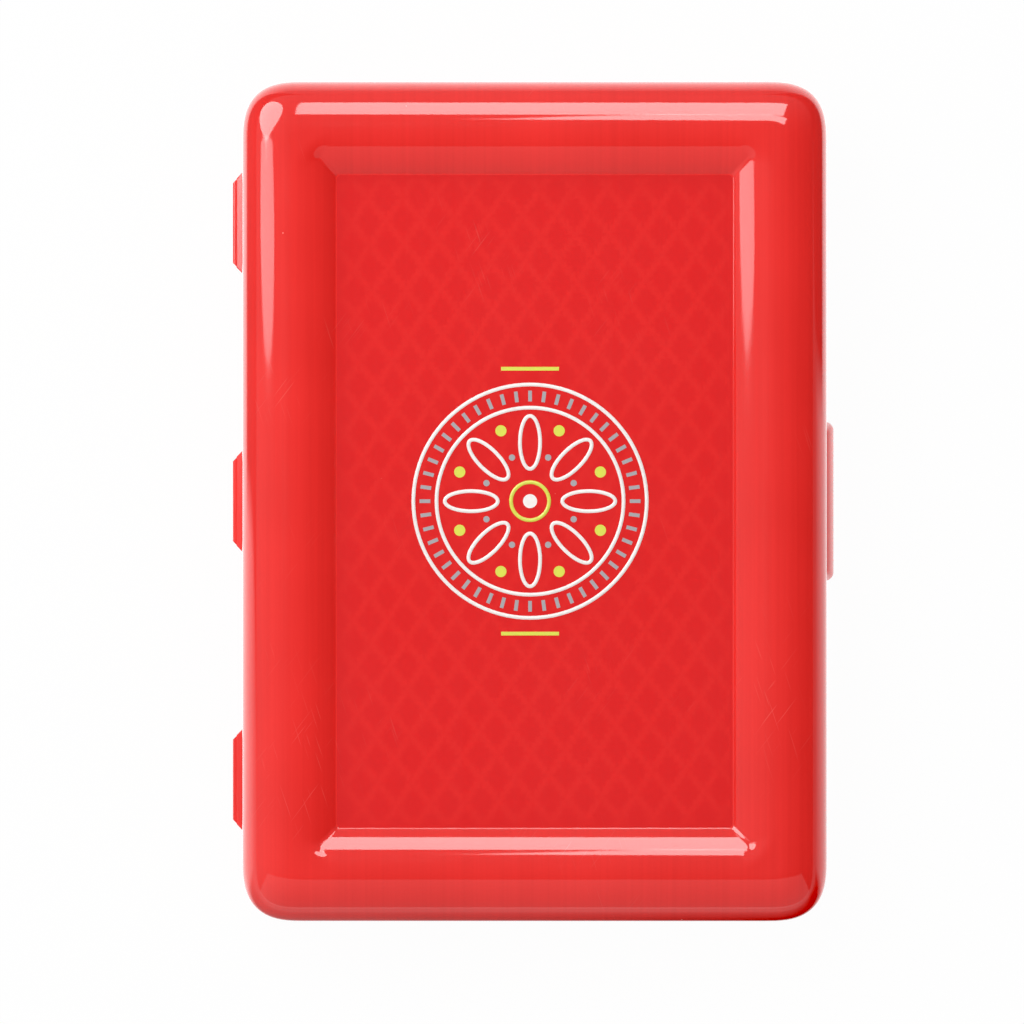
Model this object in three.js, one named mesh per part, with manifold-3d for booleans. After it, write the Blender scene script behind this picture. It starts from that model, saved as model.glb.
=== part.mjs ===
// A deck of playing cards in its hinged plastic case, lying shut on a table.
// Millimetres, +Z up. +Y runs along the case, and +X points at the thumb lip.
// The origin is the middle of the whole footprint, on the table.

import * as THREE from 'three';
import { ConvexGeometry } from 'three/addons/geometries/ConvexGeometry.js';
import { mergeVertices } from 'three/addons/utils/BufferGeometryUtils.js';
import Module from 'manifold-3d';

// Cards
const CARD_WIDTH = 57;
const CARD_LENGTH = 88;
const CARD_THICKNESS = 0.27;
const CARD_CORNER_RADIUS = 3.2;
const CARD_AIR = 0.01;
const DECK_TURN_DEG = 2.7;
const SUITS = ['clubs', 'diamonds', 'hearts', 'spades'];
const RANKS = ['ace', '2', '3', '4', '5', '6', '7', '8', '9', '10', 'jack', 'queen', 'king'];
const JOKERS = ['joker_plain', 'joker_bonus'];

// Case, outside
const SIDE_ROOM = 7;
const END_ROOM = 7;
const PLAN_CORNER_RADIUS = 5.6;
const LEAST_CORNER_RADIUS = 0.5;
const LID_EDGE_RADIUS = 6.2;
const BASE_EDGE_RADIUS = 5;
const RECESS_EDGE_RADIUS = 7;
const RECESS_DEPTH = 2.4;
const PARTING_SHARE = 0.5;

// Case, inside
const WALL = 1.6;
const FLOOR = 1.6;
const PANEL = 1.5;
const DECK_PLAY = 0.6;

// The lap where the base's tongue stands inside the lid's skirt
const PARTING_GAP = 0.2;
const SKIRT_THICKNESS = 0.75;
const LAP_AIR = 0.15;
const TONGUE_HEIGHT = 2.2;

// The bead on the tongue that holds the lid shut
const BEAD_LENGTH = 14;
const BEAD_HEIGHT = 0.7;
const BEAD_PROUD = 0.1;
const BEAD_LEVEL_SHARE = 0.55;

// The lip that a thumb lifts the lid by, a steep ramp down to a blunt edge
const LIP_LENGTH = 19.4;
const LIP_REACH = 1.05;
const LIP_HEIGHT = 3.2;
const LIP_EDGE_HEIGHT = 0.35;
const LIP_CORNER_RADIUS = 1;

// Three moulded straps are the hinge: each bends between a land on the lid and one on the base
const HINGE_PITCH_SHARE = 1 / 3;
const LAND_LENGTH = 12.7;
const LAND_REACH = 0.92;
const LAND_SLOPE_DEG = 30;
const STRAP_LENGTH = 10.6;
const STRAP_THICKNESS = 0.3;
const STRAP_BEND_RADIUS = 0.28;
const STRAP_AIR = 0.02;

// How far a joined piece is sunk into the wall that carries it
const SUNK = 0.4;

// Steps in the round stretches. An extruded outline takes two per arc for each one named.
const PLAN_CORNER_STEPS = 6;
const DEGREES_PER_STEP = 12;
const CARD_CORNER_STEPS = 3;
const LIP_CORNER_STEPS = 4;
const STRAP_STEPS = 5;

// Worked out from the sizes above
const CARD_COUNT = SUITS.length * RANKS.length + JOKERS.length;
const CARD_PITCH = CARD_THICKNESS + CARD_AIR;
const CASE_HALF_WIDTH = CARD_WIDTH / 2 + SIDE_ROOM;
const CASE_HALF_LENGTH = CARD_LENGTH / 2 + END_ROOM;
const CEILING_Z = FLOOR + CARD_COUNT * CARD_PITCH + DECK_PLAY;
const PANEL_Z = CEILING_Z + PANEL;
const CASE_HEIGHT = PANEL_Z + RECESS_DEPTH;
const PARTING_Z = CASE_HEIGHT * PARTING_SHARE;
const TONGUE_INSET = SKIRT_THICKNESS + LAP_AIR;
const TONGUE_TOP_Z = PARTING_Z + TONGUE_HEIGHT;
const STRAP_REACH = LAND_REACH + STRAP_AIR + STRAP_BEND_RADIUS + STRAP_THICKNESS / 2;
const CASE_SHIFT_X = (STRAP_REACH - LIP_REACH) / 2;

const wasm = await Module();
wasm.setup();

const redPlastic = new THREE.MeshStandardMaterial({ color: 0xdf2a2c, roughness: 0.12, metalness: 0 });
const strapPlastic = new THREE.MeshStandardMaterial({ color: 0xe8483f, roughness: 0.18, metalness: 0 });
const cardStock = new THREE.MeshStandardMaterial({ color: 0xf3efe6, roughness: 0.55, metalness: 0 });

// Booleans

function toManifold(geometry) {
  const bare = geometry.clone();
  bare.deleteAttribute('normal');
  bare.deleteAttribute('uv');
  const merged = mergeVertices(bare);
  return new wasm.Manifold(new wasm.Mesh({
    numProp: 3,
    vertProperties: new Float32Array(merged.attributes.position.array),
    triVerts: new Uint32Array(merged.index.array),
  }));
}

function toGeometry(manifold) {
  const mesh = manifold.getMesh();
  const geometry = new THREE.BufferGeometry();
  geometry.setAttribute('position', new THREE.BufferAttribute(mesh.vertProperties, 3));
  geometry.setIndex(new THREE.BufferAttribute(mesh.triVerts, 1));
  geometry.computeVertexNormals();
  return geometry;
}

function joined(geometry, additions) {
  const body = additions.reduce((sum, part) => sum.add(toManifold(part)), toManifold(geometry));
  return toGeometry(body);
}

// The shells are swept outlines: a profile of [inset, z] points goes round the case, where the
// inset is measured inwards from the case's outermost outline.

function outlineRing(inset, z) {
  const halfWidth = CASE_HALF_WIDTH - inset;
  const halfLength = CASE_HALF_LENGTH - inset;
  const radius = Math.max(PLAN_CORNER_RADIUS - inset, LEAST_CORNER_RADIUS);
  const corners = [[1, 1], [-1, 1], [-1, -1], [1, -1]];
  return corners.flatMap(([sideX, sideY], quarter) => {
    const centreX = sideX * (halfWidth - radius);
    const centreY = sideY * (halfLength - radius);
    return Array.from({ length: PLAN_CORNER_STEPS + 1 }, (_, step) => {
      const angle = (quarter + step / PLAN_CORNER_STEPS) * Math.PI / 2;
      return [centreX + radius * Math.cos(angle), centreY + radius * Math.sin(angle), z];
    });
  });
}

// The first point's ring is closed by a cap that faces up, and the last one's by a cap facing down.
function sweptShell(profile) {
  const rings = profile.map(([inset, z]) => outlineRing(inset, z));
  const count = rings[0].length;
  const index = [];
  for (let ring = 0; ring < rings.length - 1; ring += 1) {
    for (let point = 0; point < count; point += 1) {
      const here = ring * count + point;
      const next = ring * count + (point + 1) % count;
      index.push(here, here + count, next + count);
      index.push(here, next + count, next);
    }
  }
  const last = (rings.length - 1) * count;
  for (let point = 1; point < count - 1; point += 1) {
    index.push(0, point, point + 1);
    index.push(last, last + point + 1, last + point);
  }
  const geometry = new THREE.BufferGeometry();
  geometry.setAttribute('position', new THREE.Float32BufferAttribute(rings.flat(2), 3));
  geometry.setIndex(index);
  return geometry;
}

// Points of [inset, z] on an arc, from one angle to another. Angles are measured from straight
// up, and are positive towards the outside of the case.
function profileArc(centreInset, centreZ, radius, fromDeg, toDeg) {
  const steps = Math.ceil(Math.abs(toDeg - fromDeg) / DEGREES_PER_STEP);
  return Array.from({ length: steps + 1 }, (_, step) => {
    const angle = THREE.MathUtils.degToRad(fromDeg + (toDeg - fromDeg) * step / steps);
    return [centreInset - radius * Math.sin(angle), centreZ + radius * Math.cos(angle)];
  });
}

function angleAtDrop(radius, drop) {
  return THREE.MathUtils.radToDeg(Math.acos(1 - drop / radius));
}

// The rim's crown stands one edge radius in. Outside it the rim is round, and inside it the rim
// falls to the panel a little more gently.
function lidProfile() {
  const roundZ = CASE_HEIGHT - LID_EDGE_RADIUS;
  const slopeZ = CASE_HEIGHT - RECESS_EDGE_RADIUS;
  const slopeInside = RECESS_EDGE_RADIUS - WALL;
  const skirtZ = PARTING_Z + PARTING_GAP / 2;
  const rebateZ = TONGUE_TOP_Z + LAP_AIR;
  const slopeTilt = angleAtDrop(RECESS_EDGE_RADIUS, RECESS_DEPTH);
  const ceilingTilt = angleAtDrop(slopeInside, CASE_HEIGHT - WALL - CEILING_Z);
  return [
    ...profileArc(LID_EDGE_RADIUS, slopeZ, RECESS_EDGE_RADIUS, -slopeTilt, 0),
    ...profileArc(LID_EDGE_RADIUS, roundZ, LID_EDGE_RADIUS, 0, 90).slice(1),
    [0, skirtZ],
    [SKIRT_THICKNESS, skirtZ],
    [SKIRT_THICKNESS, rebateZ],
    [WALL, rebateZ],
    ...profileArc(LID_EDGE_RADIUS, roundZ, LID_EDGE_RADIUS - WALL, 90, 0),
    ...profileArc(LID_EDGE_RADIUS, slopeZ, slopeInside, 0, -ceilingTilt).slice(1),
  ];
}

function baseProfile() {
  const innerRadius = BASE_EDGE_RADIUS - WALL;
  const shoulderZ = PARTING_Z - PARTING_GAP / 2;
  return [
    ...profileArc(BASE_EDGE_RADIUS, FLOOR + innerRadius, innerRadius, 180, 90),
    [WALL, TONGUE_TOP_Z],
    [TONGUE_INSET, TONGUE_TOP_Z],
    [TONGUE_INSET, shoulderZ],
    [0, shoulderZ],
    ...profileArc(BASE_EDGE_RADIUS, BASE_EDGE_RADIUS, BASE_EDGE_RADIUS, 90, 180),
  ];
}

// Hinge

function hingePlaces() {
  const pitch = 2 * CASE_HALF_LENGTH * HINGE_PITCH_SHARE;
  return [
    { name: 'top', y: pitch },
    { name: 'middle', y: 0 },
    { name: 'bottom', y: -pitch },
  ];
}

// side is 1 for the lid's land, above the parting plane, and -1 for the base's, below it.
function hingeLand(y, side) {
  const slope = Math.tan(THREE.MathUtils.degToRad(LAND_SLOPE_DEG));
  const thinZ = STRAP_BEND_RADIUS + STRAP_THICKNESS / 2;
  const ends = [-SUNK, LAND_REACH].map((reach) => ({
    x: -CASE_HALF_WIDTH - reach,
    halfLength: LAND_LENGTH / 2 - reach,
    heights: [PARTING_GAP / 2, thinZ + (LAND_REACH - reach) * slope],
  }));
  const points = ends.flatMap(({ x, halfLength, heights }) => heights.flatMap((height) => [
    new THREE.Vector3(x, y - halfLength, PARTING_Z + side * height),
    new THREE.Vector3(x, y + halfLength, PARTING_Z + side * height),
  ]));
  return new ConvexGeometry(points);
}

function hingeStrap(y) {
  const outer = STRAP_BEND_RADIUS + STRAP_THICKNESS / 2;
  const inner = STRAP_BEND_RADIUS - STRAP_THICKNESS / 2;
  const section = new THREE.Shape();
  section.absarc(0, 0, outer, Math.PI / 2, Math.PI * 3 / 2, false);
  section.absarc(0, 0, inner, Math.PI * 3 / 2, Math.PI / 2, true);
  const geometry = new THREE.ExtrudeGeometry(section, {
    depth: STRAP_LENGTH,
    bevelEnabled: false,
    curveSegments: STRAP_STEPS,
  });
  geometry.rotateX(Math.PI / 2);
  geometry.translate(-CASE_HALF_WIDTH - LAND_REACH - STRAP_AIR, y + STRAP_LENGTH / 2, PARTING_Z);
  return geometry;
}

// Thumb lip and bead

// Points along the lip's outer edge, with its two corners rounded
function lipEdge(z) {
  const x = CASE_HALF_WIDTH + LIP_REACH - LIP_CORNER_RADIUS;
  const y = LIP_LENGTH / 2 - LIP_CORNER_RADIUS;
  return [-1, 1].flatMap((side) => Array.from({ length: LIP_CORNER_STEPS + 1 }, (_, step) => {
    const angle = side * (step / LIP_CORNER_STEPS) * Math.PI / 2;
    return new THREE.Vector3(
      x + LIP_CORNER_RADIUS * Math.cos(angle),
      side * y + LIP_CORNER_RADIUS * Math.sin(angle),
      z,
    );
  }));
}

function thumbLip() {
  const x = CASE_HALF_WIDTH - SUNK;
  const y = LIP_LENGTH / 2;
  const low = PARTING_Z + PARTING_GAP / 2;
  const root = [[-y, low], [y, low], [LIP_CORNER_RADIUS - y, low + LIP_HEIGHT],
    [y - LIP_CORNER_RADIUS, low + LIP_HEIGHT]];
  return new ConvexGeometry([
    ...root.map(([along, z]) => new THREE.Vector3(x, along, z)),
    ...lipEdge(low),
    ...lipEdge(low + LIP_EDGE_HEIGHT),
  ]);
}

function snapBead() {
  const face = CASE_HALF_WIDTH - TONGUE_INSET;
  const root = face - Math.min(SUNK, (WALL - TONGUE_INSET) / 2);
  const z = PARTING_Z + TONGUE_HEIGHT * BEAD_LEVEL_SHARE;
  const section = [[root, z - BEAD_HEIGHT / 2], [root, z + BEAD_HEIGHT / 2], [face + BEAD_PROUD, z]];
  const points = section.flatMap(([x, level]) => [
    new THREE.Vector3(x, -BEAD_LENGTH / 2, level),
    new THREE.Vector3(x, BEAD_LENGTH / 2, level),
  ]);
  return new ConvexGeometry(points);
}

// Shells

function lidShell() {
  const lands = hingePlaces().map(({ y }) => hingeLand(y, 1));
  const mesh = new THREE.Mesh(joined(sweptShell(lidProfile()), [...lands, thumbLip()]), redPlastic);
  mesh.name = 'lid_shell';
  return mesh;
}

function baseShell() {
  const lands = hingePlaces().map(({ y }) => hingeLand(y, -1));
  const mesh = new THREE.Mesh(joined(sweptShell(baseProfile()), [...lands, snapBead()]), redPlastic);
  mesh.name = 'base_shell';
  return mesh;
}

function hingeStraps() {
  return hingePlaces().map(({ name, y }) => {
    const mesh = new THREE.Mesh(hingeStrap(y), strapPlastic);
    mesh.name = `hinge_strap_${name}`;
    return mesh;
  });
}

// Cards, faces down, from the floor of the case up

function cardOutline() {
  const halfWidth = CARD_WIDTH / 2;
  const halfLength = CARD_LENGTH / 2;
  const x = halfWidth - CARD_CORNER_RADIUS;
  const y = halfLength - CARD_CORNER_RADIUS;
  const outline = new THREE.Shape();
  outline.absarc(x, y, CARD_CORNER_RADIUS, 0, Math.PI / 2, false);
  outline.absarc(-x, y, CARD_CORNER_RADIUS, Math.PI / 2, Math.PI, false);
  outline.absarc(-x, -y, CARD_CORNER_RADIUS, Math.PI, Math.PI * 3 / 2, false);
  outline.absarc(x, -y, CARD_CORNER_RADIUS, Math.PI * 3 / 2, Math.PI * 2, false);
  outline.closePath();
  return outline;
}

function cardNames() {
  const suited = SUITS.flatMap((suit) => RANKS.map((rank) => `card_${suit}_${rank}`));
  return [...suited, ...JOKERS.map((joker) => `card_${joker}`)];
}

function deck() {
  const geometry = new THREE.ExtrudeGeometry(cardOutline(), {
    depth: CARD_THICKNESS,
    bevelEnabled: false,
    curveSegments: CARD_CORNER_STEPS,
  });
  const group = new THREE.Group();
  cardNames().forEach((name, place) => {
    const card = new THREE.Mesh(geometry, cardStock);
    card.name = name;
    card.position.z = FLOOR + CARD_AIR + place * CARD_PITCH;
    group.add(card);
  });
  group.rotation.z = THREE.MathUtils.degToRad(DECK_TURN_DEG);
  return group;
}

const cardCase = new THREE.Group();
cardCase.add(baseShell(), lidShell(), ...hingeStraps(), deck());
cardCase.position.x = CASE_SHIFT_X;

export default cardCase;
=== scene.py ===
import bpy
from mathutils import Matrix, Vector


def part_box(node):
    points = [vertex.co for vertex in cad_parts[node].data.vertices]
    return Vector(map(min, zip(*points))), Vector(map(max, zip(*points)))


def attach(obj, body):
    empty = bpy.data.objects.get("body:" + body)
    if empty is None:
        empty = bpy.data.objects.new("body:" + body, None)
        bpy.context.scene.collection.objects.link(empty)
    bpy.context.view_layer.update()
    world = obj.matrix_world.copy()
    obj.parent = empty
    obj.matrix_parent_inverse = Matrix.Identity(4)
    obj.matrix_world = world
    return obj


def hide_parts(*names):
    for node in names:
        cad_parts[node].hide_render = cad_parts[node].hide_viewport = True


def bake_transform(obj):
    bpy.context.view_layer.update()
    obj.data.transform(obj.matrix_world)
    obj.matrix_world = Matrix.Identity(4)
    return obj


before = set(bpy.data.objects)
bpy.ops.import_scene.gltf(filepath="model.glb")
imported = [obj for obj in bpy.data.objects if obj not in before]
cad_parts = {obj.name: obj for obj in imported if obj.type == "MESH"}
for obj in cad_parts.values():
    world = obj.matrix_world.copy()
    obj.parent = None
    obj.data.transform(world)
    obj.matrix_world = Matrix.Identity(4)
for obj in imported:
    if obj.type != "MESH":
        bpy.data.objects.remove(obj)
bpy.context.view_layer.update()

import math

import bmesh
import bpy
from mathutils import Matrix, Vector

MM = 0.001

# The case's outside, from the frame. The hinge lands reach past the case's side
LAND_REACH = 0.92 * MM
base_low, base_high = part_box("base_shell")
lid_low, lid_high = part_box("lid_shell")
HALF_WIDTH = (base_high.x - base_low.x - LAND_REACH) / 2
HALF_LENGTH = (base_high.y - base_low.y) / 2
CENTRE_X = base_high.x - HALF_WIDTH
CASE_HEIGHT = lid_high.z
SKIRT_Z = lid_low.z
PARTING_GAP = 0.2 * MM
PARTING_Z = SKIRT_Z - PARTING_GAP / 2
SHOULDER_Z = PARTING_Z - PARTING_GAP / 2
TONGUE_TOP_Z = base_high.z

# The shells' own shapes. The outline's corners are a little squarer than round
CORNER_REACH = 7.5 * MM
LEAST_CORNER_REACH = 0.5 * MM
CORNER_SQUARENESS = 2.8
LID_EDGE_RADIUS = 6.2 * MM
BASE_EDGE_RADIUS = 5 * MM
RECESS_EDGE_RADIUS = 7 * MM
RECESS_DEPTH = 2.4 * MM
PANEL_CORNER_RADIUS = 0.5 * MM
MITRE_SPREAD = 2.2 * MM
PANEL_THICKNESS = 1.5 * MM
WALL = 1.6 * MM
FLOOR = 1.6 * MM
SKIRT_THICKNESS = 0.75 * MM
LAP_AIR = 0.15 * MM
FOOT_RADIUS = 0.3 * MM
SOFT_EDGE = 0.15 * MM
SUPPORT = 0.25 * MM
SUPPORTS = 2
PANEL_Z = CASE_HEIGHT - RECESS_DEPTH
CEILING_Z = PANEL_Z - PANEL_THICKNESS

# The rim's inner slope runs down to a small round foot at the panel
SLOPE_Z = CASE_HEIGHT - RECESS_EDGE_RADIUS
FOOT_Z = PANEL_Z + FOOT_RADIUS
FOOT_REACH = math.sqrt((RECESS_EDGE_RADIUS + FOOT_RADIUS) ** 2 - (FOOT_Z - SLOPE_Z) ** 2)
FOOT_DEG = math.degrees(math.atan2(FOOT_REACH, FOOT_Z - SLOPE_Z))
PANEL_INSET = LID_EDGE_RADIUS + FOOT_REACH
CROWN_CORNER_RADIUS = PANEL_CORNER_RADIUS + FOOT_REACH

# How fine the meshes are, and how they are shaded
CORNER_STEPS = 20
DEGREES_PER_STEP = 2.5
SOFT_EDGE_STEPS = 3
MERGE_BELOW = 0.001 * MM
ONE_PLANE_DEG = 1
SMOOTH_BELOW_DEG = 40
LEAST_FLAT_AREA = 0.5 * MM * MM

# Hinge, lip and bead. The lip's rises pair a share of its reach with a height in millimetres
HINGE_NODES = ("hinge_strap_top", "hinge_strap_middle", "hinge_strap_bottom")
LAND_LENGTH = 12.7 * MM
LAND_SLOPE_DEG = 30
LAND_BEVEL = 0.12 * MM
LAND_BEVEL_STEPS = 2
STRAP_THICKNESS = 0.3 * MM
STRAP_BEND_RADIUS = 0.28 * MM
STRAP_TUCK = 0.15 * MM
STRAP_STEPS = 32
LIP_LENGTH = 19.4 * MM
LIP_REACH = lid_high.x - CENTRE_X - HALF_WIDTH
LIP_CORNER_RADIUS = 1 * MM
LIP_TAPER = 0.25
LIP_RISES = ((1.0, 0.0), (1.0, 0.3), (0.9, 0.75), (0.62, 1.6), (0.2, 2.55), (-0.38, 3.2))
BEAD_LENGTH = 14 * MM
BEAD_HEIGHT = 0.7 * MM
BEAD_PROUD = 0.1 * MM
BEAD_LEVEL_SHARE = 0.55
SUNK = 0.4 * MM

# Cards: their size, how far each is out of line in the stack, and a fixed seed for that
CARD_WIDTH = 57 * MM
CARD_LENGTH = 88 * MM
CARD_CORNER_RADIUS = 3.2 * MM
CARD_CORNER_STEPS = 8
CARD_PITCH = 0.28 * MM
CARD_SLIP = 0.15 * MM
CARD_TWIST_DEG = 0.15
CARD_SEED = 7
DECK_TURN_DEG = 2.7

# The print on the cards' backs, in millimetres. The lattice ends a little short of the white border
CARD_BORDER = 2.5
LATTICE_END = (-0.62, -0.55)
BORDER_EDGE = (0.03, -0.03)
LATTICE_WIDTH = 4.145
LATTICE_HEIGHT = 5.67
LATTICE_SHIFT = (0.19, 0.72)

# The lattice's strings, in shares of its cell. Each string is widest in the middle of a bead
STRING_EDGE = (0.19, 0.21)
BEADS_PER_SIDE = 4
BEAD_SWELL = 0.3

# Linen embossing in radians per millimetre: a thread each 0.9 mm, drawn coarser than real so that it shows
LINEN_RATE = 7.0

# The panel's print
PRINT_X = -0.4 * MM
PRINT_PROUD = 0.025 * MM
PRINT_SUNK = 0.01 * MM
RING_SIDES = 96
DOT_SIDES = 32
PETALS = 8
PETAL_SLIMNESS = 0.38
BETWEEN_PETALS = math.pi / PETALS

# Its smaller forms, in shares of its dot's radius and of its dots' place
LIME_RING_SHARE = 2.7
LIME_DOT_SHARE = 0.8
GREY_DOT_SHARE = 0.45
GREY_PLACE_SHARE = 0.62

# How high the plastic's waves are, and how much its flow lines add to them
WAVE_HEIGHT = 0.05 * MM
FLOW_LINE_SHARE = 0.7

# Its patterns' sizes in millimetres
WAVE_SIZE = 14
FLOW_LINE_SIZE = (0.5, 45, 45)
RUBBED_SIZE = 17
HAIRLINE_SIZE = (0.13, 6, 6)
DUST_SPACING = 3
SMEAR_SIZE = 5

# Two runs of hairlines, by their turn in degrees and their shift in millimetres, and how strong wear shows
HAIRLINE_RUNS = ((18, 0), (-37, 31))
HAIRLINE_STRENGTH = 0.11
DUST_STRENGTH = 0.7
WEAR_DULLING = 0.35

# How rough each face of the plastic is, from and to, and the share of light that two of them let through
POLISHED = (0.04, 0.09)
BENT = (0.13, 0.18)
INSIDE = (0.1, 0.16)
PANEL_CLEAR_SHARE = 0.31
CEILING_CLEAR_SHARE = 0.95


# Camera

CAMERA_X = -2.58 * MM
CAMERA_Y = -1.31 * MM
CAMERA_Z = 713 * MM
LENS_MM = 202
SENSOR_MM = 36


def overhead_camera():
    data = bpy.data.cameras.new("overhead_camera")
    data.lens = LENS_MM
    data.sensor_width = SENSOR_MM
    data.clip_start = 10 * MM
    data.clip_end = 10
    camera = bpy.data.objects.new("overhead_camera", data)
    camera.location = (CAMERA_X, CAMERA_Y, CAMERA_Z)
    bpy.context.scene.collection.objects.link(camera)
    bpy.context.scene.camera = camera


# Materials

def colour(code):
    """An sRGB hex colour as a linear one, with full alpha"""
    shares = [int(code[place:place + 2], 16) / 255 for place in (1, 3, 5)]
    linear = []
    for share in shares:
        linear.append(share / 12.92 if share <= 0.04045 else ((share + 0.055) / 1.055) ** 2.4)
    return (*linear, 1.0)


def add(tree, kind, inputs=None, **settings):
    """Adds a node. Each input is a plain value, or the node or socket that it is linked to"""
    made = tree.nodes.new(kind)
    for key, value in settings.items():
        setattr(made, key, value)
    for key, value in (inputs or {}).items():
        if isinstance(value, bpy.types.Node):
            value = next(socket for socket in value.outputs if socket.enabled)
        if isinstance(value, bpy.types.NodeSocket):
            tree.links.new(value, made.inputs[key])
        else:
            made.inputs[key].default_value = value
    return made


def new_material(name):
    material = bpy.data.materials.new(name)
    material.use_nodes = True
    material.node_tree.nodes.clear()
    return material


def millimetres(tree, centre=(0, 0, 0), turn_deg=0, stretch=(1, 1, 1)):
    """Object coordinates in millimetres, about a centre and turned about Z, and drawn out by a stretch"""
    coordinates = add(tree, "ShaderNodeTexCoord")
    return add(
        tree,
        "ShaderNodeMapping",
        {
            "Vector": coordinates.outputs["Object"],
            "Location": centre,
            "Rotation": (0, 0, math.radians(turn_deg)),
            "Scale": tuple(MM * share for share in stretch),
        },
        vector_type="TEXTURE",
    )


def sloped(tree, level, *gains):
    """The level, with each socket times its gain added to it"""
    for towards, gain in gains:
        level = add(tree, "ShaderNodeMath", {0: towards, 1: gain, 2: level}, operation="MULTIPLY_ADD")
    return level


def pocket_wear(tree, place):
    """How much the hairlines and dust of a pocket show at a place. Hairlines stay in the rubbed places, and
    one cell in five holds a speck of dust"""
    rubbed = add(tree, "ShaderNodeTexNoise", {"Vector": place, "Scale": 1 / RUBBED_SIZE, "Detail": 1.0})
    where = add(tree, "ShaderNodeMapRange", {
        "Value": rubbed,
        "From Min": 0.56,
        "From Max": 0.68,
        "To Max": HAIRLINE_STRENGTH,
    })
    marks = []
    for turn_deg, shift in HAIRLINE_RUNS:
        drawn = millimetres(tree, (shift * MM, 0, 0), turn_deg, HAIRLINE_SIZE)
        hair = add(tree, "ShaderNodeTexNoise", {"Vector": drawn, "Scale": 1.0, "Detail": 0.0})
        line = add(tree, "ShaderNodeMapRange", {"Value": hair, "From Min": 0.76, "From Max": 0.82})
        marks.append(add(tree, "ShaderNodeMath", {0: line, 1: where}, operation="MULTIPLY"))
    cell = add(tree, "ShaderNodeTexVoronoi", {"Vector": place, "Scale": 1 / DUST_SPACING})
    chosen = add(tree, "ShaderNodeSeparateColor", {"Color": cell.outputs["Color"]})
    radius = add(tree, "ShaderNodeMapRange", {
        "Value": chosen.outputs["Red"],
        "From Min": 0.8,
        "To Min": 0.0,
        "To Max": 0.035,
    })
    dust = add(tree, "ShaderNodeMath", {0: cell.outputs["Distance"], 1: radius}, operation="LESS_THAN")
    marks.append(add(tree, "ShaderNodeMath", {0: dust, 1: DUST_STRENGTH}, operation="MULTIPLY"))
    wear = marks[0]
    for mark in marks[1:]:
        wear = add(tree, "ShaderNodeMath", {0: wear, 1: mark}, operation="MAXIMUM")
    return wear


def moulded_plastic(name, roughness, seen_through=0, shades=("#E72520", "#F22B26")):
    """Styrene-butadiene copolymer in a clear red, injection-moulded in a polished tool. The eye reads a
    deep red under a wet-looking skin, with the tool's fine flow lines, and a pocket's dust and hairlines"""
    material = new_material(name)
    tree = material.node_tree
    place = millimetres(tree)
    wave = add(tree, "ShaderNodeTexNoise", {"Vector": place, "Scale": 1 / WAVE_SIZE, "Detail": 1.0})
    along = millimetres(tree, stretch=FLOW_LINE_SIZE)
    flow = add(tree, "ShaderNodeTexNoise", {"Vector": along, "Scale": 1.0, "Detail": 2.0})
    shade = sloped(tree, wave, (flow, FLOW_LINE_SHARE))
    share = add(tree, "ShaderNodeMapRange", {"Value": shade, "From Min": 0.55, "From Max": 1.15})
    body = add(
        tree,
        "ShaderNodeMix",
        {"Factor": share, "A": colour(shades[0]), "B": colour(shades[1])},
        data_type="RGBA",
    )
    wear = pocket_wear(tree, place)
    worn = add(
        tree,
        "ShaderNodeMix",
        {"Factor": wear, "A": body, "B": colour("#F0A79C")},
        data_type="RGBA",
    )
    smear = add(tree, "ShaderNodeTexNoise", {"Vector": place, "Scale": 1 / SMEAR_SIZE, "Detail": 3.0})
    gloss = add(tree, "ShaderNodeMapRange", {
        "Value": smear,
        "To Min": roughness[0],
        "To Max": roughness[1],
    })
    waviness = add(tree, "ShaderNodeBump", {"Height": wave, "Strength": 0.3, "Distance": WAVE_HEIGHT})
    shader = add(tree, "ShaderNodeBsdfPrincipled", {
        "Base Color": worn,
        "Roughness": sloped(tree, gloss, (wear, WEAR_DULLING)),
        "Normal": waviness,
        "IOR": 1.58,
    })
    if seen_through:
        clear = add(tree, "ShaderNodeBsdfTransparent", {"Color": colour("#FFBCB4")})
        shader = add(tree, "ShaderNodeMixShader", {0: seen_through, 1: shader, 2: clear})
    add(tree, "ShaderNodeOutputMaterial", {"Surface": shader})
    return material


def pad_printed_ink(name, code):
    """Solvent ink pad-printed on the plastic: a thin opaque film with a satin face, a little uneven"""
    material = new_material(name)
    tree = material.node_tree
    film = add(tree, "ShaderNodeTexNoise", {"Vector": millimetres(tree), "Scale": 1 / 0.7, "Detail": 3.0})
    thin = add(tree, "ShaderNodeMapRange", {
        "Value": film,
        "From Min": 0.3,
        "From Max": 0.7,
        "To Max": 0.12,
    })
    body = add(
        tree,
        "ShaderNodeMix",
        {"Factor": thin, "A": colour(code), "B": colour("#C98C86")},
        data_type="RGBA",
    )
    satin = add(tree, "ShaderNodeMapRange", {"Value": film, "To Min": 0.28, "To Max": 0.42})
    skin = add(tree, "ShaderNodeBsdfPrincipled", {"Base Color": body, "Roughness": satin})
    add(tree, "ShaderNodeOutputMaterial", {"Surface": skin})
    return material


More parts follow.
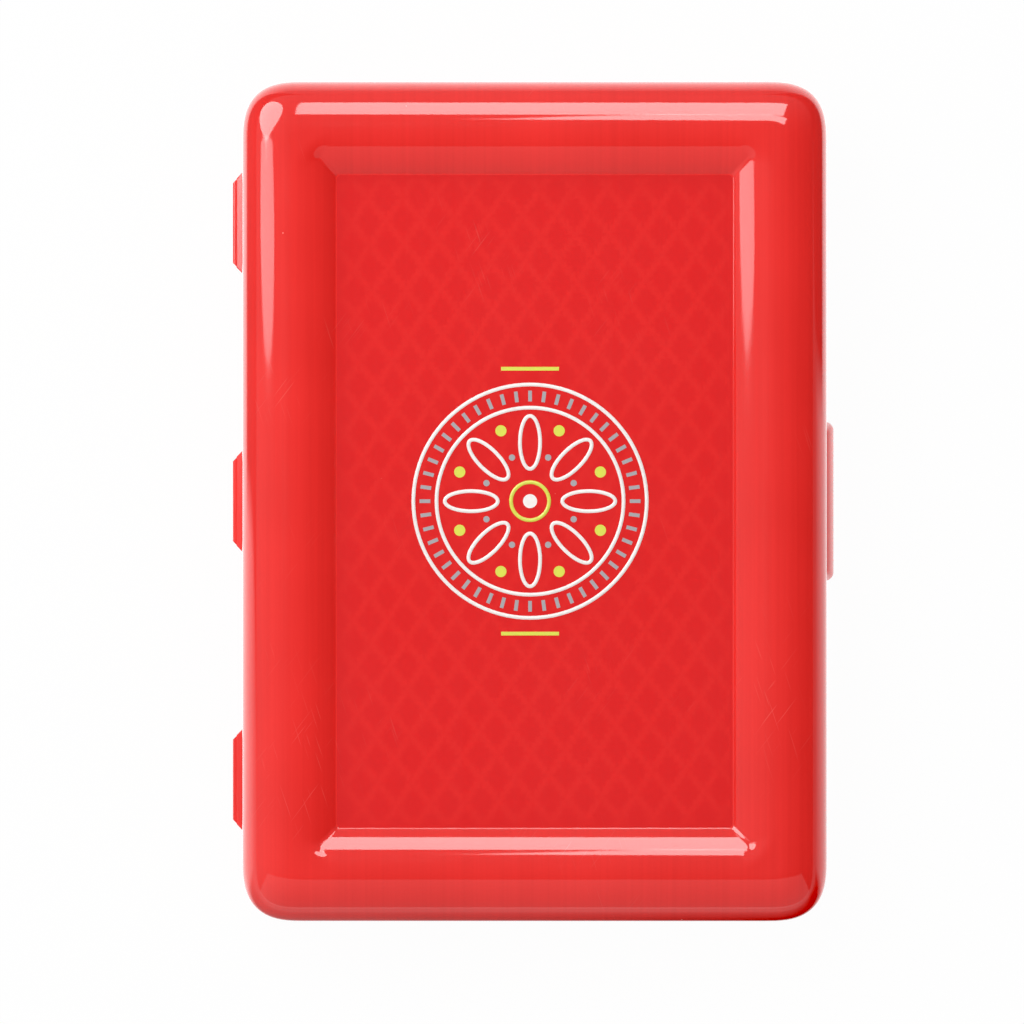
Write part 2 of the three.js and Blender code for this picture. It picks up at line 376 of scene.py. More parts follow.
def cut_card_stock():
    """Laminated paper board, die-cut in a stack: soft white edges, each card a shade off the next"""
    material = new_material("laminated_card_board_cut")
    tree = material.node_tree
    place = millimetres(tree, (0, 0, FLOOR))
    grain = add(tree, "ShaderNodeTexNoise", {"Vector": place, "Scale": 1 / 0.6, "Detail": 4.0})
    axes = add(tree, "ShaderNodeSeparateXYZ", {"Vector": place})
    level = add(tree, "ShaderNodeMath", {0: axes.outputs["Z"], 1: CARD_PITCH / MM}, operation="DIVIDE")
    card = add(tree, "ShaderNodeMath", {0: level}, operation="FLOOR")
    tint = add(tree, "ShaderNodeTexWhiteNoise", {"W": card}, noise_dimensions="1D")
    share = add(tree, "ShaderNodeMath", {0: grain, 1: tint.outputs["Value"]}, operation="MULTIPLY")
    body = add(
        tree,
        "ShaderNodeMix",
        {"Factor": share, "A": colour("#F7F4ED"), "B": colour("#CFC7B6")},
        data_type="RGBA",
    )
    fibres = add(tree, "ShaderNodeBump", {"Height": grain, "Strength": 0.3, "Distance": 0.03 * MM})
    skin = add(tree, "ShaderNodeBsdfPrincipled", {"Base Color": body, "Roughness": 0.6, "Normal": fibres})
    add(tree, "ShaderNodeOutputMaterial", {"Surface": skin})
    return material


def lattice(tree, axes):
    """Where two runs of beaded strings cross, as 1 on a string and 0 off it"""
    cells = []
    for axis, shift, cell in zip("XY", LATTICE_SHIFT, (LATTICE_WIDTH, LATTICE_HEIGHT)):
        moved = add(tree, "ShaderNodeMath", {0: axes.outputs[axis], 1: shift}, operation="SUBTRACT")
        cells.append(add(tree, "ShaderNodeMath", {0: moved, 1: cell}, operation="DIVIDE"))
    rising = add(tree, "ShaderNodeMath", {0: cells[0], 1: cells[1]}, operation="ADD")
    falling = add(tree, "ShaderNodeMath", {0: cells[0], 1: cells[1]}, operation="SUBTRACT")
    strings = []
    for across, along in ((rising, falling), (falling, rising)):
        off_string = add(tree, "ShaderNodeMath", {0: across, 1: 0.5}, operation="PINGPONG")
        beads = add(tree, "ShaderNodeMath", {0: along, 1: BEADS_PER_SIDE}, operation="MULTIPLY")
        off_bead = add(tree, "ShaderNodeMath", {0: beads, 1: 0.5}, operation="PINGPONG")
        strings.append(add(tree, "ShaderNodeMapRange", {
            "Value": sloped(tree, off_string, (off_bead, BEAD_SWELL)),
            "From Min": STRING_EDGE[0],
            "From Max": STRING_EDGE[1],
            "To Min": 1.0,
            "To Max": 0.0,
        }))
    return add(tree, "ShaderNodeMath", {0: strings[1], 1: strings[0]}, operation="MAXIMUM")


def printed_card_back():
    """Offset-printed, varnished card board: strings of white beads that cross in a red ground, and a white
    border. Linen embossing breaks up its gloss"""
    material = new_material("varnished_card_board_back")
    tree = material.node_tree
    place = millimetres(tree, (CENTRE_X, 0, 0), DECK_TURN_DEG)
    axes = add(tree, "ShaderNodeSeparateXYZ", {"Vector": place})
    past_sides = []
    linen = []
    for axis, size in (("X", CARD_WIDTH), ("Y", CARD_LENGTH)):
        off_middle = add(tree, "ShaderNodeMath", {0: axes.outputs[axis]}, operation="ABSOLUTE")
        border_at = size / MM / 2 - CARD_BORDER
        past_sides.append(add(tree, "ShaderNodeMath", {0: off_middle, 1: border_at}, operation="SUBTRACT"))
        angle = add(tree, "ShaderNodeMath", {0: axes.outputs[axis], 1: LINEN_RATE}, operation="MULTIPLY")
        linen.append(add(tree, "ShaderNodeMath", {0: angle}, operation="SINE"))
    past_border = add(tree, "ShaderNodeMath", dict(enumerate(past_sides)), operation="MAXIMUM")
    edges = []
    for start, end in (LATTICE_END, BORDER_EDGE):
        edges.append(add(tree, "ShaderNodeMapRange", {
            "Value": past_border,
            "From Min": start,
            "From Max": end,
            "To Min": 1.0,
            "To Max": 0.0,
        }))
    white = add(tree, "ShaderNodeMath", {0: lattice(tree, axes), 1: edges[0]}, operation="MULTIPLY")
    white = add(tree, "ShaderNodeMath", {0: white, 1: edges[1]}, operation="MAXIMUM")
    body = add(
        tree,
        "ShaderNodeMix",
        {"Factor": white, "A": colour("#D01022"), "B": colour("#F6F2EA")},
        data_type="RGBA",
    )
    weave = add(tree, "ShaderNodeMath", dict(enumerate(linen)), operation="MULTIPLY")
    emboss = add(tree, "ShaderNodeBump", {"Height": weave, "Strength": 0.15, "Distance": 0.02 * MM})
    skin = add(tree, "ShaderNodeBsdfPrincipled", {"Base Color": body, "Roughness": 0.32, "Normal": emboss})
    add(tree, "ShaderNodeOutputMaterial", {"Surface": skin})
    return material


# Mesh work

def new_piece(name, mesh, *materials):
    piece = bpy.data.objects.new(name, mesh)
    bpy.context.scene.collection.objects.link(piece)
    for material in materials:
        mesh.materials.append(material)
    return piece


def finished_mesh(work, name):
    """A plain mesh with its doubles merged, its faces outwards, and its round stretches smooth"""
    bmesh.ops.remove_doubles(work, verts=work.verts, dist=MERGE_BELOW)
    bmesh.ops.recalc_face_normals(work, faces=work.faces)
    mesh = bpy.data.meshes.new(name)
    work.to_mesh(mesh)
    work.free()
    mesh.shade_smooth()
    mesh.set_sharp_from_angle(angle=math.radians(SMOOTH_BELOW_DEG))
    return mesh


def ring(half_width, half_length, reach, squareness, supports):
    """A rectangle's outline with drawn corners: round with a squareness of 2, and squarer above it.
    Support points on the straight stretches lead into each corner. A ring with none has more steps in its
    corners, so that all rings have as many points"""
    steps = CORNER_STEPS + 2 * (SUPPORTS - len(supports))
    corner = [Vector((reach, -support)) for support in supports]
    for step in range(steps + 1):
        angle = step / steps * math.pi / 2
        power = 2 / squareness
        corner.append(Vector((math.cos(angle) ** power, max(math.sin(angle), 0) ** power)) * reach)
    corner += [Vector((-support, reach)) for support in reversed(supports)]
    points = []
    for quarter, (side_x, side_y) in enumerate(((1, 1), (-1, 1), (-1, -1), (1, -1))):
        centre = Vector((side_x * (half_width - reach), side_y * (half_length - reach)))
        turn = Matrix.Rotation(quarter * math.pi / 2, 2)
        points += [centre + turn @ point for point in corner]
    return points


def outline(inset):
    """The case's outline, drawn in by an inset"""
    reach = max(CORNER_REACH - inset, LEAST_CORNER_REACH)
    far = PANEL_INSET + PANEL_CORNER_RADIUS - inset - reach
    return ring(HALF_WIDTH - inset, HALF_LENGTH - inset, reach, CORNER_SQUARENESS, (far, SUPPORT))


def panel_outline(spread):
    """The panel's outline, drawn out by a spread. Its corners are mitred low on the slope, and grow round
    from there to the crown"""
    half_width = HALF_WIDTH - PANEL_INSET + spread
    half_length = HALF_LENGTH - PANEL_INSET + spread
    risen = max(0, spread - MITRE_SPREAD) / (FOOT_REACH - MITRE_SPREAD)
    radius = PANEL_CORNER_RADIUS + (CROWN_CORNER_RADIUS - PANEL_CORNER_RADIUS) * risen
    return ring(half_width, half_length, radius, 2, ())


def arc(centre_inset, centre_z, radius, from_deg, to_deg):
    """Profile points on an arc. Angles are from straight up, and positive towards the outside"""
    steps = math.ceil(abs(to_deg - from_deg) / DEGREES_PER_STEP)
    points = []
    for step in range(steps + 1):
        angle = math.radians(from_deg + (to_deg - from_deg) * step / steps)
        points.append((centre_inset - radius * math.sin(angle), centre_z + radius * math.cos(angle)))
    return points


def softened(corners, radius=SOFT_EDGE):
    """The inner points of a run of profile corners, each rounded off. The two ends only give directions"""
    points = []
    for before, here, after in zip(corners, corners[1:], corners[2:]):
        corner = Vector(here)
        back = (Vector(before) - corner).normalized()
        ahead = (Vector(after) - corner).normalized()
        half = back.angle(ahead) / 2
        centre = corner + (back + ahead).normalized() * radius / math.sin(half)
        start = corner + back * radius / math.tan(half) - centre
        end = corner + ahead * radius / math.tan(half) - centre
        for step in range(SOFT_EDGE_STEPS + 1):
            spoke = start.slerp(end, step / SOFT_EDGE_STEPS)
            points.append(tuple(centre + spoke.normalized() * radius))
    return points


def swept_shell(outlines):
    """A closed body from a run of (outline, z) rings, capped at both ends"""
    work = bmesh.new()
    rings = []
    for points, z in outlines:
        rings.append([work.verts.new((CENTRE_X + point.x, point.y, z)) for point in points])
    for upper, lower in zip(rings, rings[1:]):
        for place in range(len(upper)):
            work.faces.new((upper[place - 1], lower[place - 1], lower[place], upper[place]))
    caps = [work.faces.new(rings[0]), work.faces.new(reversed(rings[-1]))]
    return work, caps


def hull(points):
    """The convex body round some points"""
    work = bmesh.new()
    for point in points:
        work.verts.new(point)
    bmesh.ops.convex_hull(work, input=work.verts)
    loose = [v for v in work.verts if not v.link_faces]
    bmesh.ops.delete(work, geom=loose, context="VERTS")
    one_plane = math.radians(ONE_PLANE_DEG)
    bmesh.ops.dissolve_limit(work, angle_limit=one_plane, verts=work.verts, edges=work.edges)
    return work


def fused(name, body, additions):
    """The body with the additions joined to it by boolean unions. The hinge lands' large faces stay flat
    between their bevels"""
    for addition in additions:
        modifier = body.modifiers.new("join", "BOOLEAN")
        modifier.operation = "UNION"
        modifier.solver = "EXACT"
        modifier.material_mode = "TRANSFER"
        modifier.object = addition
    depsgraph = bpy.context.evaluated_depsgraph_get()
    mesh = bpy.data.meshes.new_from_object(body.evaluated_get(depsgraph))
    mesh.name = name
    body.modifiers.clear()
    body.data = mesh
    for addition in additions:
        bpy.data.objects.remove(addition)
    mesh.shade_smooth()
    mesh.set_sharp_from_angle(angle=math.radians(SMOOTH_BELOW_DEG))
    for face in mesh.polygons:
        if face.center.x < CENTRE_X - HALF_WIDTH and face.area > LEAST_FLAT_AREA:
            face.use_smooth = False
    return body


# Lid and base

def recess_profile():
    """From the panel up its foot and the slope to the rim's crown"""
    return [
        *arc(PANEL_INSET, FOOT_Z, FOOT_RADIUS, 180, 180 - FOOT_DEG),
        *arc(LID_EDGE_RADIUS, SLOPE_Z, RECESS_EDGE_RADIUS, -FOOT_DEG, 0)[1:],
    ]


def lid_profile():
    """From the rim's crown down the outside, round the skirt's edge and up the inside to the ceiling"""
    round_z = CASE_HEIGHT - LID_EDGE_RADIUS
    rebate_z = TONGUE_TOP_Z + LAP_AIR
    slope_inside = RECESS_EDGE_RADIUS - WALL
    ceiling_deg = math.degrees(math.acos((CEILING_Z - SLOPE_Z) / slope_inside))
    ceiling_inset = LID_EDGE_RADIUS + slope_inside * math.sin(math.radians(ceiling_deg))
    skirt = [
        (0, round_z),
        (0, SKIRT_Z),
        (SKIRT_THICKNESS, SKIRT_Z),
        (SKIRT_THICKNESS, rebate_z),
        (WALL, rebate_z),
        (WALL, round_z),
    ]
    return [
        *arc(LID_EDGE_RADIUS, round_z, LID_EDGE_RADIUS, 0, 90),
        (0, round_z - SUPPORT),
        *softened(skirt),
        (WALL, round_z - SUPPORT),
        *arc(LID_EDGE_RADIUS, round_z, LID_EDGE_RADIUS - WALL, 90, 0),
        *arc(LID_EDGE_RADIUS, SLOPE_Z, slope_inside, 0, -ceiling_deg)[1:],
        (ceiling_inset + SUPPORT, CEILING_Z),
    ]


def base_profile():
    """From the floor up the inside, over the tongue, and down the outside to the underside"""
    inner_radius = BASE_EDGE_RADIUS - WALL
    tongue_inset = SKIRT_THICKNESS + LAP_AIR
    lap = [
        (WALL, BASE_EDGE_RADIUS),
        (WALL, TONGUE_TOP_Z),
        (tongue_inset, TONGUE_TOP_Z),
        (tongue_inset, SHOULDER_Z),
        (0, SHOULDER_Z),
        (0, BASE_EDGE_RADIUS),
    ]
    return [
        (BASE_EDGE_RADIUS + SUPPORT, FLOOR),
        *arc(BASE_EDGE_RADIUS, BASE_EDGE_RADIUS, inner_radius, 180, 90),
        (WALL, BASE_EDGE_RADIUS + SUPPORT),
        *softened(lap),
        (0, BASE_EDGE_RADIUS + SUPPORT),
        *arc(BASE_EDGE_RADIUS, BASE_EDGE_RADIUS, BASE_EDGE_RADIUS, 90, 180),
        (BASE_EDGE_RADIUS + SUPPORT, 0),
    ]


def hinge_land(y, side, plastic):
    """The block that carries a strap: above the parting plane with side 1, and below it with side -1"""
    slope = math.tan(math.radians(LAND_SLOPE_DEG))
    thin = STRAP_BEND_RADIUS + STRAP_THICKNESS / 2
    points = []
    for reach in (-SUNK, LAND_REACH):
        half = LAND_LENGTH / 2 - reach
        for height in (PARTING_GAP / 2, thin + (LAND_REACH - reach) * slope):
            for end in (-half, half):
                points.append((CENTRE_X - HALF_WIDTH - reach, y + end, PARTING_Z + side * height))
    work = hull(points)
    bmesh.ops.bevel(
        work,
        geom=work.edges,
        offset=LAND_BEVEL,
        offset_type="OFFSET",
        segments=LAND_BEVEL_STEPS,
        profile=0.5,
        affect="EDGES",
    )
    return new_piece("hinge_land", finished_mesh(work, "hinge_land"), plastic)


def thumb_lip(plastic):
    """A steep ramp that grows out of the skirt, blunt at its edge and rounded at its two corners"""
    steps = CORNER_STEPS // 2
    points = []
    for share, rise in LIP_RISES:
        reach = share * LIP_REACH
        radius = min(LIP_CORNER_RADIUS, reach + SUNK)
        half = LIP_LENGTH / 2 - rise * MM * LIP_TAPER
        for side in (-1, 1):
            for step in range(steps + 1):
                angle = step / steps * math.pi / 2
                x = CENTRE_X + HALF_WIDTH + reach - radius + radius * math.cos(angle)
                y = side * (half - radius + radius * math.sin(angle))
                points.append((x, y, SKIRT_Z + rise * MM))
    for rise in (0, LIP_RISES[-1][1]):
        half = LIP_LENGTH / 2 - rise * MM * LIP_TAPER
        for side in (-1, 1):
            points.append((CENTRE_X + HALF_WIDTH - SUNK, side * half, SKIRT_Z + rise * MM))
    return new_piece("thumb_lip", finished_mesh(hull(points), "thumb_lip"), plastic)


def snap_bead(plastic):
    """A ridge of triangular section along the tongue, that the lid's skirt rides over"""
    face = CENTRE_X + HALF_WIDTH - SKIRT_THICKNESS - LAP_AIR
    root = face - SUNK / 2
    z = PARTING_Z + (TONGUE_TOP_Z - PARTING_Z) * BEAD_LEVEL_SHARE
    section = [(root, z - BEAD_HEIGHT / 2), (root, z + BEAD_HEIGHT / 2), (face + BEAD_PROUD, z)]
    points = [(x, side * BEAD_LENGTH / 2, level) for x, level in section for side in (-1, 1)]
    return new_piece("snap_bead", finished_mesh(hull(points), "snap_bead"), plastic)


def hinge_rows():
    """Where the hinges lie along the case, from the frame"""
    return [sum(corner.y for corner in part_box(node)) / 2 for node in HINGE_NODES]


def lid_shell(plastic, panel_plastic, ceiling_plastic, hinge_plastic):
    slope = [(panel_outline(PANEL_INSET - inset), z) for inset, z in recess_profile()]
    outside = [(outline(inset), z) for inset, z in lid_profile()]
    clear_edge = (panel_outline(-SUPPORT), CEILING_Z)
    work, (panel, ceiling) = swept_shell([*slope, *outside, clear_edge])
    panel.material_index = 1
    ceiling.material_index = 2
    mesh = finished_mesh(work, "lid")
    shell = new_piece("lid", mesh, plastic, panel_plastic, ceiling_plastic)
    lands = [hinge_land(y, 1, hinge_plastic) for y in hinge_rows()]
    return fused("lid", shell, [*lands, thumb_lip(hinge_plastic)])


def base_shell(plastic, hinge_plastic):
    work = swept_shell([(outline(inset), z) for inset, z in base_profile()])[0]
    shell = new_piece("base", finished_mesh(work, "base"), plastic)
    lands = [hinge_land(y, -1, hinge_plastic) for y in hinge_rows()]
    return fused("base", shell, [*lands, snap_bead(plastic)])


# Geometry node trees

def geometry_tree(name, sizes):
    """A tree with named inputs for its sizes. Returns it with the sockets that give them"""
    tree = bpy.data.node_groups.new(name, "GeometryNodeTree")
    for label, kind in sizes.items():
        tree.interface.new_socket(label, in_out="INPUT", socket_type=kind)
    tree.interface.new_socket("Geometry", in_out="OUTPUT", socket_type="NodeSocketGeometry")
    return tree, tree.nodes.new("NodeGroupInput").outputs


def grown(name, tree, values):
    """The tree's result as a plain mesh piece"""
    piece = bpy.data.objects.new(name, bpy.data.meshes.new(name))
    bpy.context.scene.collection.objects.link(piece)
    modifier = piece.modifiers.new("grow", "NODES")
    modifier.node_group = tree
    for item in tree.interface.items_tree:
        if item.in_out == "INPUT":
            modifier[item.identifier] = values[item.name]
    depsgraph = bpy.context.evaluated_depsgraph_get()
    mesh = bpy.data.meshes.new_from_object(piece.evaluated_get(depsgraph))
    mesh.name = name
    piece.modifiers.clear()
    piece.data = mesh
    return piece


def card_stack_tree():
    """Cards with rounded corners, one above the other, each slipped and turned a little by chance"""
    tree, size = geometry_tree("card_stack", {
        "Count": "NodeSocketInt",
        "Width": "NodeSocketFloat",
        "Length": "NodeSocketFloat",
        "Corner Radius": "NodeSocketFloat",
        "Thickness": "NodeSocketFloat",
        "Pitch": "NodeSocketFloat",
        "Foot": "NodeSocketVector",
        "Turn": "NodeSocketFloat",
        "Slip": "NodeSocketVector",
        "Twist": "NodeSocketFloat",
        "Seed": "NodeSocketInt",
        "Stock": "NodeSocketMaterial",
        "Back": "NodeSocketMaterial",
    })
    sheet = add(tree, "GeometryNodeCurvePrimitiveQuadrilateral", {
        "Width": size["Width"],
        "Height": size["Length"],
    })
    rounded = add(
        tree,
        "GeometryNodeFilletCurve",
        {
            "Curve": sheet,
            "Radius": size["Corner Radius"],
            "Count": CARD_CORNER_STEPS,
            "Limit Radius": True,
        },
        mode="POLY",
    )
    face = add(tree, "GeometryNodeFillCurve", {"Curve": rounded}, mode="NGONS")
    slab = add(tree, "GeometryNodeExtrudeMesh", {
        "Mesh": face,
        "Offset Scale": size["Thickness"],
        "Individual": False,
    })
    under = add(tree, "GeometryNodeFlipFaces", {"Mesh": face})
    both = add(tree, "GeometryNodeJoinGeometry", {"Geometry": slab.outputs["Mesh"]})
    tree.links.new(under.outputs[0], both.inputs["Geometry"])
    card = add(tree, "GeometryNodeMergeByDistance", {"Geometry": both, "Distance": MERGE_BELOW})
    step = add(tree, "ShaderNodeCombineXYZ", {"Z": size["Pitch"]})
    line = add(tree, "GeometryNodeMeshLine", {
        "Count": size["Count"],
        "Start Location": size["Foot"],
        "Offset": step,
    })
    back_slip = add(tree, "ShaderNodeVectorMath", {0: size["Slip"], "Scale": -1.0}, operation="SCALE")
    slip = add(
        tree,
        "FunctionNodeRandomValue",
        {"Min": back_slip, "Max": size["Slip"], "Seed": size["Seed"]},
        data_type="FLOAT_VECTOR",
    )
    places = add(tree, "GeometryNodeSetPosition", {"Geometry": line, "Offset": slip})
    back_twist = add(tree, "ShaderNodeMath", {0: size["Turn"], 1: size["Twist"]}, operation="SUBTRACT")
    more_twist = add(tree, "ShaderNodeMath", {0: size["Turn"], 1: size["Twist"]}, operation="ADD")
    next_seed = add(tree, "FunctionNodeIntegerMath", {0: size["Seed"], 1: 1}, operation="ADD")
    twist = add(
        tree,
        "FunctionNodeRandomValue",
        {2: back_twist, 3: more_twist, "Seed": next_seed},
        data_type="FLOAT",
    )
    turned = add(tree, "ShaderNodeCombineXYZ", {"Z": twist.outputs[1]})
    placed = add(tree, "GeometryNodeInstanceOnPoints", {
        "Points": places,
        "Instance": card,
        "Rotation": turned,
    })
    real = add(tree, "GeometryNodeRealizeInstances", {"Geometry": placed})
    stock = add(tree, "GeometryNodeSetMaterial", {"Geometry": real, "Material": size["Stock"]})
    printed = add(tree, "GeometryNodeSetMaterial", {
        "Geometry": stock,
        "Selection": slab.outputs["Top"],
        "Material": size["Back"],
    })
    add(tree, "NodeGroupOutput", {"Geometry": printed})
    return tree


def card_deck(stock, back):
    cards = [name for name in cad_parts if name.startswith("card_")]
    levels = sorted((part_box(name)[0].z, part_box(name)[1].z) for name in cards)
    lowest, lowest_top = levels[0]
    deck = grown("deck", card_stack_tree(), {
        "Count": len(cards),
        "Width": CARD_WIDTH,
        "Length": CARD_LENGTH,
        "Corner Radius": CARD_CORNER_RADIUS,
        "Thickness": lowest_top - lowest,
        "Pitch": (levels[-1][0] - lowest) / (len(cards) - 1),
        "Foot": (CENTRE_X, 0, lowest),
        "Turn": math.radians(DECK_TURN_DEG),
        "Slip": (CARD_SLIP, CARD_SLIP, 0),
        "Twist": math.radians(CARD_TWIST_DEG),
        "Seed": CARD_SEED,
        "Stock": stock,
        "Back": back,
    })
    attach(deck, "deck")
    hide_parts(*cards)


def rosette_tree():
    """Rings, ticks, petals and dots in three inks, all thin solids that stand on one level"""
    tree, size = geometry_tree("panel_rosette", {
        "Centre": "NodeSocketVector",
        "Film": "NodeSocketFloat",
        "Line": "NodeSocketFloat",
        "Outer Radius": "NodeSocketFloat",
        "Tick Radius": "NodeSocketFloat",
        "Tick Length": "NodeSocketFloat",
        "Ticks": "NodeSocketInt",
        "Inner Radius": "NodeSocketFloat",
        "Petal Radius": "NodeSocketFloat",
        "Petal Place": "NodeSocketFloat",
        "Petals": "NodeSocketInt",
        "Dot Radius": "NodeSocketFloat",
        "Dot Place": "NodeSocketFloat",
        "Bar Length": "NodeSocketFloat",
        "Bar Place": "NodeSocketFloat",
        "White": "NodeSocketMaterial",
        "Lime": "NodeSocketMaterial",
        "Grey": "NodeSocketMaterial",
    })
    section = add(tree, "GeometryNodeCurvePrimitiveQuadrilateral", {
        "Width": size["Line"],
        "Height": size["Film"],
    })

    parts = {}
    for part, whole, share in (
        ("lime ring", "Dot Radius", LIME_RING_SHARE),
        ("lime dot", "Dot Radius", LIME_DOT_SHARE),
        ("grey dot", "Dot Radius", GREY_DOT_SHARE),
        ("grey place", "Dot Place", GREY_PLACE_SHARE),
        ("lower bar", "Bar Place", -1.0),
        ("both bars", "Bar Place", 2.0),
    ):
        parts[part] = add(tree, "ShaderNodeMath", {0: size[whole], 1: share}, operation="MULTIPLY")

    def ring_line(radius, scale=(1, 1, 1)):
        circle = add(tree, "GeometryNodeCurvePrimitiveCircle", {"Resolution": RING_SIDES, "Radius": radius})
        drawn = add(tree, "GeometryNodeTransform", {"Geometry": circle, "Scale": scale})
        return add(tree, "GeometryNodeCurveToMesh", {"Curve": drawn, "Profile Curve": section})

    def dot(radius):
        return add(tree, "GeometryNodeMeshCylinder", {
            "Vertices": DOT_SIDES,
            "Radius": radius,
            "Depth": size["Film"],
        })

    def bar(length, width):
        block = add(tree, "ShaderNodeCombineXYZ", {"X": length, "Y": width, "Z": size["Film"]})
        return add(tree, "GeometryNodeMeshCube", {"Size": block})

    def all_round(shape, count, radius, start=0.0):
        places = add(tree, "GeometryNodeMeshCircle", {"Vertices": count, "Radius": radius})
        index = add(tree, "GeometryNodeInputIndex")
        step = add(tree, "ShaderNodeMath", {0: math.tau, 1: count}, operation="DIVIDE")
        turn = add(tree, "ShaderNodeMath", {0: index, 1: step}, operation="MULTIPLY")
        facing = add(tree, "ShaderNodeCombineXYZ", {"Z": turn})
        placed = add(tree, "GeometryNodeInstanceOnPoints", {
            "Points": places,
            "Instance": shape,
            "Rotation": facing,
        })
        return add(tree, "GeometryNodeTransform", {"Geometry": placed, "Rotation": (0, 0, start)})

    def above_and_below(shape):
        start = add(tree, "ShaderNodeCombineXYZ", {"Y": parts["lower bar"]})
        step = add(tree, "ShaderNodeCombineXYZ", {"Y": parts["both bars"]})
        places = add(tree, "GeometryNodeMeshLine", {"Count": 2, "Start Location": start, "Offset": step})
        return add(tree, "GeometryNodeInstanceOnPoints", {"Points": places, "Instance": shape})

    def inked(shapes, ink):
        joined = add(tree, "GeometryNodeJoinGeometry")
        for shape in shapes:
            tree.links.new(shape.outputs[0], joined.inputs["Geometry"])
        real = add(tree, "GeometryNodeRealizeInstances", {"Geometry": joined})
        return add(tree, "GeometryNodeSetMaterial", {"Geometry": real, "Material": size[ink]})

    petal = ring_line(size["Petal Radius"], (1, PETAL_SLIMNESS, 1))
    tick = bar(size["Tick Length"], size["Line"])
    white = inked([
        ring_line(size["Outer Radius"]),
        ring_line(size["Inner Radius"]),
        all_round(petal, size["Petals"], size["Petal Place"]),
        dot(size["Dot Radius"]),
    ], "White")
    lime = inked([
        ring_line(parts["lime ring"]),
        all_round(dot(parts["lime dot"]), size["Petals"], size["Dot Place"], BETWEEN_PETALS),
        above_and_below(bar(size["Bar Length"], size["Line"])),
    ], "Lime")
    grey = inked([
        all_round(tick, size["Ticks"], size["Tick Radius"]),
        all_round(dot(parts["grey dot"]), size["Petals"], parts["grey place"], BETWEEN_PETALS),
    ], "Grey")
    joined = add(tree, "GeometryNodeJoinGeometry")
    for layer in (white, lime, grey):
        tree.links.new(layer.outputs[0], joined.inputs["Geometry"])
    placed = add(tree, "GeometryNodeTransform", {"Geometry": joined, "Translation": size["Centre"]})
    add(tree, "NodeGroupOutput", {"Geometry": placed})
    return tree


def panel_print(white, lime, grey):
    film = PRINT_PROUD + PRINT_SUNK
    rosette = grown("panel_print", rosette_tree(), {
        "Centre": (PRINT_X, 0, PANEL_Z + PRINT_PROUD - film / 2),
        "Film": film,
        "Line": 0.45 * MM,
        "Outer Radius": 14.1 * MM,
        "Tick Radius": 12.7 * MM,
        "Tick Length": 1.3 * MM,
        "Ticks": 48,
        "Inner Radius": 11.3 * MM,
        "Petal Radius": 3.2 * MM,
        "Petal Place": 7.1 * MM,
        "Petals": PETALS,
        "Dot Radius": 0.85 * MM,
        "Dot Place": 9.2 * MM,
        "Bar Length": 7 * MM,
        "Bar Place": 16 * MM,
        "White": white,
        "Lime": lime,
        "Grey": grey,
    })
    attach(rosette, "lid")


# Hinge straps

def strap(node, material):
    """A thin strip bent round from the base's land to the lid's"""
    low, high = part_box(node)
    centre_x = high.x
    centre_z = (low.z + high.z) / 2
    outer = STRAP_BEND_RADIUS + STRAP_THICKNESS / 2
    inner = STRAP_BEND_RADIUS - STRAP_THICKNESS / 2
    tuck = high.x + STRAP_TUCK
    land_edge_x = CENTRE_X - HALF_WIDTH - LAND_REACH
    section = [(tuck, centre_z + outer)]
    for radius, direction in ((outer, 1), (inner, -1)):
        for step in range(STRAP_STEPS + 1):
            angle = direction * (math.pi / 2 - math.pi * step / STRAP_STEPS)
            section.append((centre_x - radius * math.cos(angle), centre_z + radius * math.sin(angle)))
        if direction == 1:
            section += [(tuck, centre_z - outer), (tuck, centre_z - inner)]
    section.append((tuck, centre_z + inner))
    work = bmesh.new()
    ends = []
    for y, inward in ((low.y, 1), (high.y, -1)):
        ends.append([work.verts.new((x, y + inward * max(0, land_edge_x - x), z)) for x, z in section])
    for place in range(len(section)):
        work.faces.new((ends[0][place - 1], ends[1][place - 1], ends[1][place], ends[0][place]))
    work.faces.new(ends[0])
    work.faces.new(reversed(ends[1]))
    piece = new_piece(node + "_bent", finished_mesh(work, node), material)
    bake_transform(piece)
    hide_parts(node)


# Stage and light

LIGHT_AIM = Vector((0, 0, 13 * MM))
SHEET_REACH = 4
SHEET_GAP = 0.02 * MM

# Brightness, where 1 is white. The world's even light, and the room that shows in gloss: its level straight
# above, and its gains to the right, to both sides and to the back
EVEN_LIGHT = 0.63
ROOM_LEVEL = 0.29
ROOM_TO_RIGHT = -0.3
ROOM_TO_SIDES = 0.06
ROOM_TO_BACK = 0.27
LEAST_LIGHT = 0.02

# The sheet's painted glow in gloss close to the case, which stands in for its lit paint: its level, its
# gains per millimetre, and its drop in front of it, a painted shadow of the case
NEAR_LEVEL = 1.75
NEAR_TO_RIGHT = -0.0056
NEAR_TO_BACK = 0.005
PAINTED_SHADOW_SPAN = (-51.0, -60.0)
NEAR_PAINTED_SHADOW = -1.35
NEAR_MOST = 2.0

# The sheet in gloss far from the case, and where it goes over to that, in millimetres off the case
FAR_LEVEL = 0.68
FAR_TO_RIGHT = -0.33
FAR_TO_BACK = -0.17
FAR_AWAY = (15.0, 125.0)
BEYOND_WEIGHT = 1.6

# The sheet's dim stretch in gloss, beside the case's back half
DIM_LEVEL = 0.16
DIM_TO_RIGHT = -0.12
DIM_BESIDE = (19.0, 25.0)
DIM_BACK = (3.0, 12.0)
DIM_SLANT = -0.1

# The share of its white that the sheet gives by itself where the camera sees it, and its paint
OWN_WHITE = 0.97
SHEET_PAINT = 0.85


